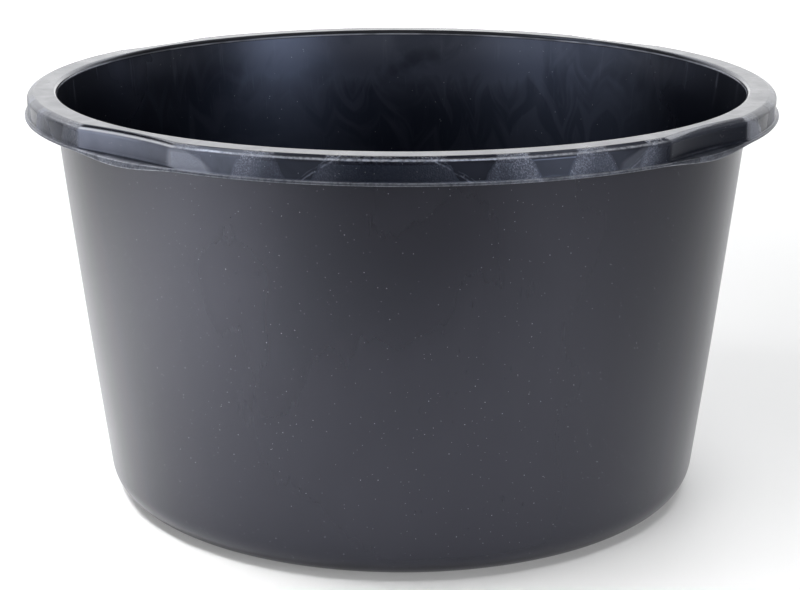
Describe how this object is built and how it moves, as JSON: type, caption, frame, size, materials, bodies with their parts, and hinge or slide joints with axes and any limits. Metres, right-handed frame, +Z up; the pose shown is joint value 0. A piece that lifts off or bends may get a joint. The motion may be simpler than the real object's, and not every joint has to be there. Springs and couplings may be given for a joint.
{
  "type": "mortar tub",
  "caption": "Round tapered black plastic tub with a hollow turned-down rim and recessed hand grips, for mixing and carrying cement, mortar or rubble.",
  "frame": {"origin": "centre of the underside, on the surface that the tub stands on", "axes": "+Z up along the tub's axis, +X and +Y each through the middle of a hand grip"},
  "size_m": [0.6, 0.6, 0.33],
  "materials": {
    "black_polyethylene": "satin"
  },
  "bodies": {
    "root": {"floor": "black_polyethylene", "base_corner": "black_polyethylene", "wall": "black_polyethylene", "rim_flange": "black_polyethylene", "rim_skirt": "black_polyethylene", "hand_grips": "black_polyethylene", "rim_ribs": "black_polyethylene"}
  },
  "joints": []
}
